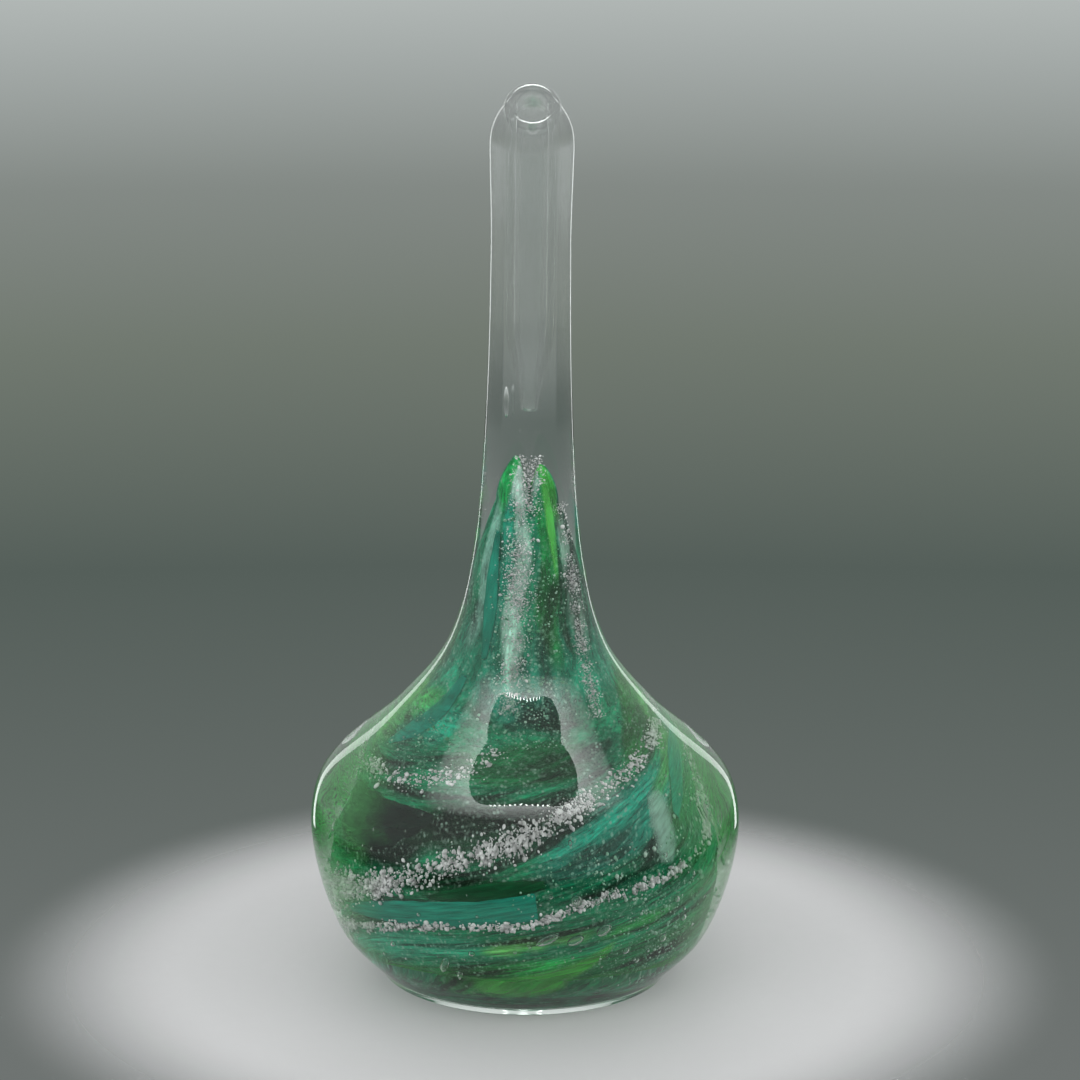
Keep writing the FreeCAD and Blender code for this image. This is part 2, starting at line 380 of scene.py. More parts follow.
def surfaced(material, add, shader):
    """The material with this shader on its surface."""
    add("ShaderNodeOutputMaterial", {"Surface": shader.outputs[0]})
    return material


def lets_lamps_through(material, add, shader):
    """Glass that refracts what is seen and lets lamps light what is inside it."""
    path = add("ShaderNodeLightPath").outputs["Is Shadow Ray"]
    clear = add("ShaderNodeBsdfTransparent").outputs[0]
    mixed = add("ShaderNodeMixShader", {0: path, 1: shader.outputs[0], 2: clear})
    return surfaced(material, add, mixed)


def clear_glass():
    settings = bpy.context.scene.bud_vase_casing
    material, add = new_material("Clear hand worked glass")
    place = add("ShaderNodeTexCoord").outputs["Object"]
    waves = add("ShaderNodeTexNoise", {"Vector": place, "Scale": 42.0, "Detail": 1.0})
    bump = add("ShaderNodeBump", {"Height": waves.outputs["Fac"], "Strength": 1.0,
                                  "Distance": settings.ripple})
    haze = stretched(add, waves.outputs["Fac"], 0.0, 0.012)
    glass = add("ShaderNodeBsdfPrincipled", {
        "Base Color": (*settings.tint, 1), "Roughness": haze, "IOR": 1.5,
        "Transmission Weight": 1.0, "Normal": bump.outputs[0]})
    thin = add("ShaderNodeAttribute", attribute_name="thin").outputs["Fac"]
    facing = add("ShaderNodeLayerWeight", {"Blend": 0.5}).outputs["Facing"]
    rim = stretched(add, facing, 0.13, 0.75, min=0.5)
    straight = add("ShaderNodeBsdfTransparent").outputs[0]
    shine = add("ShaderNodeBsdfAnisotropic", {"Roughness": 0.08}).outputs[0]
    film = add("ShaderNodeMixShader", {0: rim, 1: straight, 2: shine})
    whole = add("ShaderNodeMixShader", {0: thin, 1: glass.outputs[0], 2: film.outputs[0]})
    return lets_lamps_through(material, add, whole)


def bubble_glass():
    material, add = new_material("Air in glass")
    place = add("ShaderNodeTexCoord").outputs["Object"]
    film = add("ShaderNodeTexNoise", {"Vector": place, "Scale": 900.0})
    haze = stretched(add, film.outputs["Fac"], 0.0, 0.06)
    air = add("ShaderNodeBsdfPrincipled", {
        "Base Color": (1, 1, 1, 1), "Roughness": haze, "IOR": 0.667,
        "Transmission Weight": 1.0})
    return lets_lamps_through(material, add, air)


def coat_glass():
    material, add = new_material("Swirled emerald glass")
    flow = flow_of(add, 0.085, 0.5, 1.5)
    zone = add("ShaderNodeAttribute", attribute_name="zone").outputs["Color"]
    shade = ramp(add, flow["Bands"], ((0.36, 0.10), (0.42, 0.42), (0.46, 0.85), (0.55, 1.0),
                                      (0.585, 1.7), (0.66, 1.25)))
    deep = blend(add, 1.0, zone, shade, "MULTIPLY")
    thread = ramp(add, flow["Threads"], ((0.38, 0.45), (0.5, 0.95), (0.62, 1.5)))
    coarse = blend(add, 0.5, deep, thread, "MULTIPLY")
    fine = ramp(add, flow["Fine"], ((0.36, 0.35), (0.5, 0.95), (0.64, 1.9)))
    threaded = blend(add, 0.35, coarse, fine, "MULTIPLY")
    pale = blend(add, 0.4, zone, srgb("#b5cfc2"))
    crowd = ramp(add, flow["Threads"], ((0.42, 0.15), (0.56, 1.0)))
    some = add("ShaderNodeMath", {0: flow["Specks"], 1: crowd}, operation="MULTIPLY")
    specked = blend(add, some.outputs[0], threaded, pale)
    see = ramp(add, flow["Threads"], ((0.32, 0.55), (0.46, 1.0)))
    rough = stretched(add, flow["Threads"], 0.25, 0.5)
    bump = add("ShaderNodeBump", {"Height": flow["Threads"], "Strength": 0.6,
                                  "Distance": 0.0004})
    glass = add("ShaderNodeBsdfPrincipled", {
        "Base Color": specked, "Roughness": rough, "IOR": 1.1,
        "Specular IOR Level": 0.2, "Alpha": see, "Normal": bump.outputs[0]})
    return surfaced(material, add, glass)


def heart_glass():
    settings = bpy.context.scene.bud_vase_core
    material, add = new_material("Deep green heart glass")
    flow = flow_of(add, 0.16, 0.6, 1.2)
    tone = ramp(add, flow["Bands"], ((0.35, tuple(settings.deep)), (0.6, tuple(settings.emerald)),
                                     (0.75, tuple(settings.leaf))))
    rough = stretched(add, flow["Threads"], 0.2, 0.45)
    glass = add("ShaderNodeBsdfPrincipled", {"Base Color": tone, "Roughness": rough, "IOR": 1.1})
    return surfaced(material, add, glass)


def streak_glass(name, tone, light, see_low, soft, most=1.0):
    """Coloured glass, streaked along its flow and thinner towards its edges."""
    material, add = new_material(name)
    flow = flow_of(add, 0.14, 0.5, 1.4)
    lift = ramp(add, flow["Threads"], ((0.3, 0.55), (0.5, 1.0), (0.7, light)))
    colour_out = blend(add, 1.0, tone, lift, "MULTIPLY")
    body = ramp(add, flow["Bands"], ((0.35, see_low * most), (0.55, most)))
    edge = add("ShaderNodeAttribute", attribute_name="edge").outputs["Fac"]
    thin = add("ShaderNodeMapRange", {"Value": edge, "From Max": soft},
               interpolation_type="SMOOTHSTEP")
    see = add("ShaderNodeMath", {0: body, 1: thin.outputs[0]}, operation="MULTIPLY").outputs[0]
    rough = stretched(add, flow["Threads"], 0.2, 0.4)
    glass = add("ShaderNodeBsdfPrincipled", {
        "Base Color": colour_out, "Roughness": rough, "IOR": 1.1,
        "Specular IOR Level": 0.2, "Alpha": see})
    return surfaced(material, add, glass)


def bead_glass(name, grain, stops, smoothest):
    """Mottled glass of the small beads."""
    material, add = new_material(name)
    place = add("ShaderNodeTexCoord").outputs["Object"]
    mottle = add("ShaderNodeTexNoise", {"Vector": place, "Scale": grain, "Detail": 2.0})
    tone = ramp(add, mottle.outputs["Fac"], stops)
    rough = stretched(add, mottle.outputs["Fac"], smoothest, 0.45)
    glass = add("ShaderNodeBsdfPrincipled", {"Base Color": tone, "Roughness": rough, "IOR": 1.35})
    return surfaced(material, add, glass)


def frit_glass():
    white = bpy.context.scene.bud_vase_frit.white
    return bead_glass("White frit", 700.0, ((0.35, tuple(c * 0.5 for c in white)),
                                            (0.6, tuple(white))), 0.15)


def seed_glass():
    return bead_glass("Pale green seeds", 260.0, ((0.38, srgb("#3f8a63")), (0.52, srgb("#86b79c")),
                                                  (0.64, srgb("#b9cfc2"))), 0.2)


def veil_glass():
    settings = bpy.context.scene.bud_vase_core
    material, add = new_material("Thin green veil")
    flow = flow_of(add, 0.10, 0.35, 1.2)
    threads = ramp(add, flow["Threads"], ((0.34, 0.55), (0.48, 0.9), (0.58, 1.0)))
    edge = add("ShaderNodeLayerWeight", {"Blend": 0.5}).outputs["Facing"]
    rim = stretched(add, edge, 0.01, 1.0, min=0.25, max=0.65)
    see = add("ShaderNodeMath", {0: rim, 1: threads}, operation="MULTIPLY").outputs[0]
    tone = ramp(add, flow["Fine"], ((0.36, tuple(c * 0.25 for c in settings.veil)),
                                    (0.5, tuple(settings.veil)),
                                    (0.66, tuple(c * 1.5 for c in settings.veil))))
    rough = stretched(add, flow["Threads"], 0.2, 0.4)
    glass = add("ShaderNodeBsdfPrincipled", {
        "Base Color": tone, "Roughness": rough, "IOR": 1.05,
        "Specular IOR Level": 0.0, "Alpha": see})
    return surfaced(material, add, glass)


# ---- Colour and flow of the core ------------------------------------------------------------
# Soft patches of colour laid in turn: (azimuth, height, half width in degrees, half height,
# degrees that it turns for each millimetre up, colour, strength).
PATCHES = (
    (0, 12, 180, 6, 0, "#1b8058", 0.7),
    (0, 50, 180, 9, 0, "#127050", 0.6),
    (0, 66, 180, 9, 0, "#1b8468", 0.8),
    (0, 88, 180, 16, 0, "#188560", 0.9),
    (-62, 30.5, 30, 5.0, 4, "#07140e", 0.95),
    (-15, 36, 32, 4.5, 5, "#09301a", 0.9),
    (-16, 26.5, 24, 2.6, 6, "#0a3f22", 0.9),
    (45, 35, 32, 6.5, 5, "#11816a", 0.95),
    (28, 27, 30, 3.4, 8, "#0b5a3e", 0.8),
    (5, 17, 14, 2.0, 9, "#62b45c", 0.9),
    # Painted glow: this brighter green low at the front stands for light coming up through the foot
    # into the coat, painted into its colour.
    (0, 11, 32, 3.2, 6, "#1f9440", 0.9),
    (-66, 13.5, 30, 4.0, 8, "#2d9a78", 0.9),
    (66, 14, 34, 5.5, 8, "#1d6338", 0.8),
    (52, 19, 14, 1.6, 9, "#2f9a4a", 0.8),
    (82, 50, 22, 8, 3, "#11561f", 0.9),
    (96, 46, 12, 10, 3, "#4fa54a", 0.7),
    (-72, 50, 22, 5.5, 3, "#1b8f72", 0.95),
    (-104, 46, 18, 10, 2, "#3c9c4c", 0.85),
    (0, 47, 34, 4.5, 3, "#0d5a30", 0.9),
    (-8, 60, 34, 6, 0, "#1c8c72", 0.9),
    (-70, 84, 16, 16, 0, "#86b8a8", 0.75),
    (-36, 84, 14, 18, 0, "#178f74", 0.9),
    (-12, 84, 11, 22, 0, "#a4cbbb", 0.85),
    (-8, 104, 40, 6, 0, "#b4d2c6", 0.85),
    (28, 82, 16, 16, 0, "#0f8d44", 0.95),
    (50, 78, 7, 12, 0, "#0c3f24", 0.8),
    (74, 84, 18, 14, 0, "#9fb5a8", 0.6),
    (-60, 103, 24, 7, 0, "#12a050", 0.95),
    (62, 101, 26, 7, 0, "#3fb043", 0.95),
    (150, 30, 30, 7, 5, "#12806a", 0.8),
    (-150, 34, 24, 6, 5, "#0a3a22", 0.8),
    (170, 16, 36, 5, 8, "#2c9462", 0.8),
)
CODES = {patch[5]: srgb(patch[5]) for patch in PATCHES}
PATCH_REACH = 1.35  # where a patch has faded out, in half widths
PATCH_FADE = 0.7


def zone_colour(point, base):
    """Colour of the coat at a point of the upright core."""
    azimuth, height = azimuth_of(point), point.z
    wander = noise.noise(Vector((point.x, point.y, point.z * 0.7)) * 0.12) * 14
    tone = Vector(base)
    for centre, level, wide, tall, slant, code, strength in PATCHES:
        up = (height - level) / tall
        if abs(up) > PATCH_REACH:
            continue
        aside = (azimuth + wander - centre - slant * (height - level) + 180) % 360 - 180
        reach = (aside / wide) ** 2 + up ** 2
        weight = strength * min(1.0, max(0.0, (PATCH_REACH - reach) / PATCH_FADE))
        if weight > 0:
            tone = tone.lerp(Vector(CODES[code]), weight)
    return tone


def flow_place(point):
    """Where a point lies in the drawn-out flow of the glass."""
    turn = math.radians(azimuth_of(point) - between(TWIST, point.z))
    reach = math.hypot(point.x, point.y)
    run = NECK_FLOW * max(point.z, NECK_FOOT) + BODY_FLOW * min(0, point.z - NECK_FOOT)
    return Vector((reach * math.cos(turn), reach * math.sin(turn), run))


def flowing_piece(bm, *details):
    """Store the glass's flow on a piece made upright, lean it into its place and finish it."""
    layer = bm.verts.layers.float_vector.new("flow")
    for vert in bm.verts:
        vert[layer] = flow_place(vert.co)
        vert.co = leaned(vert.co)
    piece_from(bm, *details)


# ---- Pieces ---------------------------------------------------------------------------------
class BUDVASE_OT_casing(bpy.types.Operator):
    """Clear glass from the foot to the lip, with the blind bore"""
    bl_idname = "bud_vase.casing"
    bl_label = "Clear Casing"

    def execute(self, context):
        settings = context.scene.bud_vase_casing
        foot_in = FOOT_R - FOOT_EDGE
        profile = [Vector((foot_in * share, 0, 0)) for share in (0, 0.35, 0.7, 0.95)]
        profile += arc((foot_in, FOOT_EDGE), FOOT_EDGE, -90, -32, 4)
        profile += smooth_line([(r, 0, z) for r, z in SIDE], 14)[1:]
        bend = BEND_R * TILT
        for step in range(1, 15):
            share = step / 14
            radius = SWELL_R - (SWELL_R - WAIST_R) * share ** SWELL_CURVE
            profile.append(Vector((radius, 0, NECK_TOP + bend * share)))
        lip = NECK_TOP + bend + LIP_REACH
        profile += arc((RING_R, lip), LIP_RING, -20, 180, 14)
        low = BORE_END + BORE_TAPER
        for step in range(1, 25):
            profile.append(Vector((BORE_R, 0, lip + (low - lip) * step / 24)))
        tip = BORE_END + BORE_TIP_R
        for step in range(1, 7):
            share = step / 6
            radius = BORE_TIP_R + (BORE_R - BORE_TIP_R) * (0.5 + 0.5 * math.cos(math.pi * share))
            profile.append(Vector((radius, 0, low + (tip - low) * share)))
        profile += arc((0, tip), BORE_TIP_R, 0, -90, 8)[1:]
        profile[-1].x = 0
        bm = spun(profile, settings.steps)
        thin = bm.verts.layers.float.new("thin")
        for vert in bm.verts:
            inside = math.hypot(vert.co.x, vert.co.y) < BORE_R + 0.01 and vert.co.z > BORE_END - 1
            past = min(1, max(0, (vert.co.z - NECK_TOP + 3) / 8))
            neck = min(1, max(0, (vert.co.z - FILM_START) / FILM_RISE))
            vert[thin] = max(FILM_BORE * inside, FILM_NECK * neck, FILM_LIP * past)
            vert.co = leaned(bent(vert.co))
        piece_from(bm, "casing_glass", clear_glass(), "clear_glass", ["clear_casing"])
        return {"FINISHED"}


def lumpy(bm, amount, size):
    """Push a core's surface in and out where the gathers were uneven."""
    for vert in bm.verts:
        wave = noise.noise(flow_place(vert.co) * size) * amount
        level = min(1.0, max(0.0, (vert.co.z - CORE_FLOOR - 0.5) / 4))
        reach = math.hypot(vert.co.x, vert.co.y)
        if reach > 1e-3:
            vert.co.xy *= 1 + wave * level / max(reach, 2.0)


class BUDVASE_OT_core(bpy.types.Operator):
    """First gather, its emerald coat and the thin veil round them"""
    bl_idname = "bud_vase.core"
    bl_label = "Coloured Core"

    def execute(self, context):
        settings = context.scene.bud_vase_core
        coat = [Vector((0, 0, CORE_FLOOR)), Vector((6, 0, CORE_FLOOR))] + CORE_LINE
        coat = [Vector((p.x, 0, p.z + FLOOR_LIFT * max(0, LIFT_BELOW - p.z)))
                for p in coat if p.z < BLUNT_Z]
        blunt = coat[-1]
        coat += [Vector((blunt.x * math.cos(math.pi / 2 * i / 16) ** 0.6, 0,
                         blunt.z + (COAT_TIP - blunt.z) * i / 16)) for i in range(1, 16)]
        coat += [Vector((0, 0, COAT_TIP))]
        bm = spun(coat, settings.steps)
        middle, wide, deep = CLEFT
        for vert in bm.verts:
            rise = min(1, max(0, (vert.co.z - CLEFT_START) / 14))
            cleft = math.exp(-((vert.co.x - middle) / wide) ** 2)
            vert.co.z -= rise * (deep * cleft + LOBE_DROP * (vert.co.x > 0))
        lumpy(bm, settings.lumps, 0.3)
        layer = bm.verts.layers.float_vector.new("zone")
        for vert in bm.verts:
            vert[layer] = zone_colour(vert.co, settings.emerald)
        flowing_piece(bm, "emerald_coat_glass", coat_glass(), "emerald_glass", ["emerald_coat"])

        line = [p - Vector((COAT_T, 0, 0)) for p in CORE_LINE
                if HEART_FOOT < p.z < HEART_TOP]
        heart = [Vector((0, 0, line[0].z - 0.6))] + line
        heart += arc((0, line[-1].z), line[-1].x, 20, 90, 5)
        heart[-1].x = 0
        bm = spun(heart, settings.steps // 2)
        lumpy(bm, settings.lumps, 0.2)
        flowing_piece(bm, "heart_gather", heart_glass(), "heart_glass", ["first_gather"])

        veil = smooth_line([(r, 0, z) for r, z in VEIL_SIDE], 8) + [Vector(p) for p in VEIL_END]
        bm = spun(veil, settings.steps // 2)
        ends = [f for f in bm.faces if not 10.01 <= f.calc_center_median().z <= 75.5]
        bmesh.ops.delete(bm, geom=ends, context="FACES")
        lumpy(bm, settings.lumps * 2, 0.12)
        flowing_piece(bm, "green_veil", veil_glass(), "emerald_glass")
        return {"FINISHED"}


# Sheets of coloured glass: name, node that it stands for, glass, and the stations along it as
# (azimuth, height, half width).
SHEETS = (
    ("teal_sheet_low", "teal_streak_low", "teal",
     ((-92, 17.6, 0.5), (-76, 18.8, 1.3), (-50, 20.6, 2.2), (-22, 22.4, 2.7), (0, 24.0, 2.8),
      (5, 24.3, 2.6))),
    ("teal_sheet_right", "teal_streak_right", "teal",
     ((70, 31.5, 1.0), (80, 35, 2.6), (90, 38.0, 3.0), (100, 39.4, 2.4), (112, 40.6, 0.8))),
    ("teal_sheet_left", "teal_streak_left", "teal",
     ((-86, 42.8, 0.8), (-76, 48, 2.2), (-66, 53.5, 2.0), (-58, 62, 0.8))),
    ("teal_thread_neck", "teal_streak_neck", "teal",
     ((-44, 66, 0.6), (-50, 78, 1.5), (-58, 92, 0.5))),
    ("aqua_patch", "aqua_streak", "aqua",
     ((60, 27.6, 1.5), (61, 29.8, 3.0), (61, 32.4, 3.4), (61, 35.0, 3.0), (60, 37.4, 1.5))),
    ("leaf_sheet_foot", "leaf_streak_foot", "leaf",
     ((-28, 9.6, 0.6), (-6, 9.0, 1.7), (16, 10.6, 2.1), (32, 14, 1.4), (40, 16.8, 0.5))),
    ("leaf_sheet_left", "leaf_streak_left", "leaf",
     ((-100, 37.5, 0.8), (-104, 43, 2.2), (-104, 50, 2.2), (-101, 57, 0.8))),
    ("leaf_thread_neck", "leaf_streak_neck", "leaf",
     ((42, 82, 0.4), (44, 92, 1.0), (45, 103, 0.6))),
)
# Dark windows, which stand for no node.
DARK_SHEETS = (
    ("dark_window", "dark",
     ((-97, 28.4, 1.2), (-88, 29.8, 2.6), (-72, 31.0, 3.0), (-58, 32.6, 2.6), (-46, 34.2, 1.6),
      (-38, 35.4, 0.5))),
    ("dark_wedge", "deep",
     ((-38, 24.4, 0.3), (-28, 25.4, 1.1), (-14, 26.6, 1.5), (0, 27.6, 1.2), (8, 28.2, 0.6))),
)
SLOTS = {"teal": "teal_glass", "aqua": "aqua_glass", "leaf": "leaf_green_glass",
         "dark": "heart_glass", "deep": "heart_glass"}
SHEET_OUT = 0.55  # how far a sheet's middle stands off the coat
SHEET_DIP = 0.35  # and how much lower its edges lie
SHEET_T = 0.5


class BUDVASE_OT_sheets(bpy.types.Operator):
    """Teal, aqua and leaf green sheets marvered into the coat"""
    bl_idname = "bud_vase.sheets"
    bl_label = "Coloured Sheets"

    def execute(self, context):
        core = context.scene.bud_vase_core
        dark, deep = srgb("#0a1712"), srgb("#0a4426")
        glasses = {
            "teal": streak_glass("Teal glass", tuple(core.teal), 1.5, 0.8, 0.1),
            "aqua": streak_glass("Aqua glass", tuple(core.aqua), 1.3, 0.6, 0.9, 0.75),
            "leaf": streak_glass("Leaf green glass", tuple(core.leaf), 1.4, 0.3, 0.8, 0.8),
            "dark": streak_glass("Near black window", dark, 2.6, 0.9, 0.12),
            "deep": streak_glass("Deep green window", deep, 1.8, 0.9, 0.15),
        }
        sheets = [(name, [node], glass, stations) for name, node, glass, stations in SHEETS]
        sheets += [(name, [], glass, stations) for name, glass, stations in DARK_SHEETS]
        for name, nodes, glass, stations in sheets:
            line = smooth_line(stations, 10)
            bm = bmesh.new()
            bmesh.ops.create_grid(bm, x_segments=len(line) - 1, y_segments=10, size=1)
            last = len(line) - 1
            edge = bm.verts.layers.float.new("edge")
            for vert in bm.verts:
                vert[edge] = 1 - max(abs(vert.co.x) ** 3, abs(vert.co.y) ** 1.5)
                along = min(last, max(0, round((vert.co.x + 1) / 2 * last)))
                azimuth, height, half = line[along]
                ahead, behind = line[min(last, along + 1)], line[max(0, along - 1)]
                step = on_core(ahead.x, ahead.y) - on_core(behind.x, behind.y)
                place = on_core(azimuth, height)
                outward = Vector((place.x, place.y, 0)).normalized()
                across = outward.cross(step).normalized()
                rough = 1 + 0.16 * noise.noise(place * 0.5 + across * vert.co.y * 3)
                side = place + across * vert.co.y * half * rough
                vert.co = on_core(azimuth_of(side), side.z,
                                  SHEET_OUT - SHEET_DIP * abs(vert.co.y) ** 3)
            bmesh.ops.recalc_face_normals(bm, faces=bm.faces)
            if sum(f.normal.dot(f.calc_center_median() * Vector((1, 1, 0))) for f in bm.faces) < 0:
                bmesh.ops.reverse_faces(bm, faces=bm.faces)
            bmesh.ops.solidify(bm, geom=bm.faces[:], thickness=SHEET_T)
            flowing_piece(bm, name, glasses[glass], SLOTS[glass], nodes)
        return {"FINISHED"}


# Frit trails: name, node, width of the scatter, and (azimuth, height, density) stations.
TRAILS = (
    ("frit_main", "frit_trail_main", 2.0,
     ((-118, 17.8, 1.6), (-98, 20.2, 2.2), (-69, 23.2, 1.8), (-45, 27, 1.1), (-30, 30, 1.3),
      (-8, 33.6, 1.3), (5, 35.4, 1.7), (18, 38, 1.1), (39, 41.8, 0.8), (62, 44, 0.8),
      (84, 45.6, 1.0), (130, 48, 0.8), (175, 52.5, 0.5))),
    ("frit_low", "frit_trail_low", 0.9,
     ((-118, 13.5, 0.8), (-75, 15.9, 0.8), (-48, 18.4, 0.6), (-30, 19.8, 0.7), (2, 21.2, 0.9),
      (18, 23.6, 0.8), (31, 25.2, 0.4), (50, 25.9, 0.6), (68, 26.6, 0.7), (108, 28.5, 0.7),
      (150, 30, 0.5))),
    ("frit_shoulder", "frit_trail_shoulder", 1.9,
     ((-168, 27, 0.7), (-125, 30, 0.7), (-99, 33, 0.6), (-86, 36.7, 0.6), (-57, 39.9, 0.5),
      (-42, 42.5, 0.6), (-20, 47, 0.35), (-16, 50, 0.3))),
    ("frit_neck_front", "frit_neck_front", 2.6,
     ((-14, 56, 0.8), (-12, 64, 1.0), (-12, 76, 1.2), (-14, 88, 1.2), (-10, 96, 1.2),
      (5, 107, 0.8))),
    ("frit_neck_side", "frit_neck_side", 1.6,
     ((50, 54, 0.6), (58, 62, 0.9), (68, 73, 1.0), (73, 86, 0.9), (80, 97, 0.5))),
)


BODY_BEAD = (0.15, 1.0)  # usual radius of a bead, and how many more of them
NECK_BEAD = (0.07, 2.6)
WIDEST_BEAD = 0.45
FINE_BEAD = 0.26  # radius past which a bead gets more faces
BEADS_A_BATCH = 50


class Scatter:
    """Beads gathered into one bmesh."""

    def __init__(self):
        self.whole = bmesh.new()
        self.batch = bmesh.new()
        self.count = 0

    def bead(self, place, radius, fine=False, stretch=None):
        size = Matrix.Translation(leaned(place)) @ Matrix.Diagonal((radius * MM,) * 3 + (1,))
        if stretch is not None:
            size = size @ stretch
        bmesh.ops.create_icosphere(self.batch, subdivisions=2 if fine else 1, radius=1,
                                   matrix=size)
        self.count += 1
        if self.count % BEADS_A_BATCH == 0:
            self.pour()

    def pour(self):
        """Add the latest beads to the rest, a batch at a time because a small mesh is quick."""
        mesh = bpy.data.meshes.new("batch")
        self.batch.to_mesh(mesh)
        self.whole.from_mesh(mesh)
        bpy.data.meshes.remove(mesh)
        self.batch.free()
        self.batch = bmesh.new()

    def finished(self):
        self.pour()
        self.batch.free()
        return self.whole


class BUDVASE_OT_frit(bpy.types.Operator):
    """White frit trails, scattered as small beads"""
    bl_idname = "bud_vase.frit"
    bl_label = "Frit Trails"

    def execute(self, context):
        settings = context.scene.bud_vase_frit
        glass = frit_glass()
        for number, (name, node, spread, stations) in enumerate(TRAILS):
            draw = random.Random(settings.seed + number)
            line = smooth_line(stations, 24)
            scatter = Scatter()
            size, crowd = NECK_BEAD if "neck" in name else BODY_BEAD
            for first, last in zip(line, line[1:]):
                step = on_core(last.x, last.y) - on_core(first.x, first.y)
                wanted = settings.beads * step.length * max(0.1, first.z) * crowd
                count = int(wanted) + (draw.random() < wanted % 1)
                for _ in range(count):
                    share = draw.random()
                    azimuth = first.x + (last.x - first.x) * share
                    height = first.y + (last.y - first.y) * share
                    place = on_core(azimuth, height)
                    clump = noise.noise(place * 0.35 + Vector((0, 0, number * 9)))
                    if draw.random() > 0.6 + 0.9 * clump:
                        continue
                    off = draw.gauss(0, spread * 0.5)
                    slide = draw.gauss(0, 0.4)
                    turn = math.radians(azimuth)
                    side = Vector((math.cos(turn), math.sin(turn), 0))
                    outward = Vector((place.x, place.y, 0)).normalized()
                    across = outward.cross(step.normalized())
                    point = place + across * off + side * slide
                    radius = min(WIDEST_BEAD, size * math.exp(draw.gauss(0, 0.5)))
                    rise = draw.uniform(-0.1, 1.1)
                    spot = on_core(azimuth_of(point), point.z, rise)
                    tumble = Vector((draw.gauss(0, 1), draw.gauss(0, 1), draw.gauss(0, 1)))
                    shape = Matrix.Rotation(draw.uniform(0, 3), 4, tumble)
                    shape @= Matrix.Diagonal((1, draw.uniform(0.6, 1), draw.uniform(1, 1.5), 1))
                    scatter.bead(spot, radius, radius > FINE_BEAD, shape)
            piece_from(scatter.finished(), name + "_beads", glass, "white_frit", [node])
        return {"FINISHED"}


# Larger bubbles: (azimuth, height, radius, length over width, degrees that its length leans).
BUBBLES = (
    (19, 25.5, 1.1, 1.0, 0), (27, 25.0, 0.8, 1.0, 0), (31, 19.4, 1.0, 1.6, 60),
    (20, 17.9, 0.9, 1.8, 70), (9, 18.3, 0.9, 2.4, 65), (63, 15.3, 0.7, 1.2, 0),
    (-21, 15.0, 0.6, 1.0, 0), (-34, 12.0, 0.8, 2.2, 20), (-28, 10.5, 0.5, 2.0, 15),
    (66, 22, 0.6, 1.0, 0), (44, 14.5, 0.6, 1.3, 40), (52, 12.0, 0.5, 1.2, 30),
    (74, 18.0, 0.6, 1.0, 0), (-60, 14.0, 0.5, 1.3, 50), (140, 22, 0.9, 1.4, 60),
    (175, 18, 0.8, 1.2, 60), (-140, 15, 0.8, 1.6, 60), (-150, 24, 0.6, 1.0, 0),
)
# Clouds of tiny pale seeds: middle azimuth, lowest and highest point, how many.
SEEDS = (
    (62, 9, 24, 420), (35, 22, 32, 260), (84, 24, 36, 160), (-60, 42, 52, 200), (0, 50, 64, 260),
    (-20, 62, 98, 200), (25, 60, 90, 160), (150, 14, 40, 300), (-140, 12, 40, 300),
)
SEED_R = 0.13  # usual radius of a seed
WIDEST_SEED = 0.4
FINE_SEED = 0.25
SMALL_BUBBLES = 150
NECK_BUBBLE = (-3.2, -1.0, 117.5)  # middle of the long bubble above the core
NECK_BUBBLE_R = 0.42
NECK_BUBBLE_LENGTH = 6.4


class BUDVASE_OT_bubbles(bpy.types.Operator):
    """Air bubbles over the core and the long seed bubble in the neck"""
    bl_idname = "bud_vase.bubbles"
    bl_label = "Air Bubbles"

    def execute(self, context):
        settings = context.scene.bud_vase_frit
        draw = random.Random(settings.seed + 50)
        glass = bubble_glass()
        scatter = Scatter()
        for azimuth, height, radius, length, lean in BUBBLES:
            place = on_core(azimuth, height, radius + 0.6)
            turn = (Matrix.Rotation(math.radians(azimuth), 4, "Z")
                    @ Matrix.Rotation(math.radians(lean), 4, "Y"))
            stretch = turn @ Matrix.Diagonal((1, 1, length, 1))
            scatter.bead(place, radius, True, stretch)
        for _ in range(SMALL_BUBBLES):
            azimuth, height = draw.uniform(-180, 180), draw.triangular(8, 52, 13)
            scatter.bead(on_core(azimuth, height, draw.uniform(0.5, 2.0)),
                         draw.uniform(0.15, 0.4), True)
        pale = Scatter()
        for centre, low, high, count in SEEDS:
            for _ in range(count):
                azimuth = centre + draw.gauss(0, 16)
                height = draw.uniform(low, high)
                radius = SEED_R * math.exp(draw.gauss(0, 0.45))
                pale.bead(on_core(azimuth, height, draw.uniform(0, 1.0)),
                          min(WIDEST_SEED, radius), radius > FINE_SEED)
        piece_from(pale.finished(), "pale_green_seeds", seed_glass(), "leaf_green_glass")
        stretch = Matrix.Diagonal((1, 1, NECK_BUBBLE_LENGTH / 2 / NECK_BUBBLE_R, 1))
        scatter.bead(Vector(NECK_BUBBLE), NECK_BUBBLE_R, True, stretch)
        piece_from(scatter.finished(), "air_bubbles", glass, "clear_glass")
        return {"FINISHED"}


# ---- Stage ----------------------------------------------------------------------------------
FLOOR_R = 0.22
FLOOR_FADE = (0.068, 0.11)  # radii between which the floor fades away
CEILING = 0.115
# Rims of the overhead softbox, inner to outer: middle, half width, half depth, share of the glow.
RIMS = (
    (-0.025, 0.035, 0.028, 1.0), (-0.026, 0.048, 0.032, 0.55), (-0.033, 0.074, 0.040, 0.0),
)
ROW_LAMPS = 12
ROW_LAMP_R = 0.0008
ROW_START = -40.0  # where the row of lamps starts, in degrees
ROW_SWEEP = 68.0
HIGH_BOX_R = 0.12
STRIP_HALF = (0.03, 0.30, 1, 1)
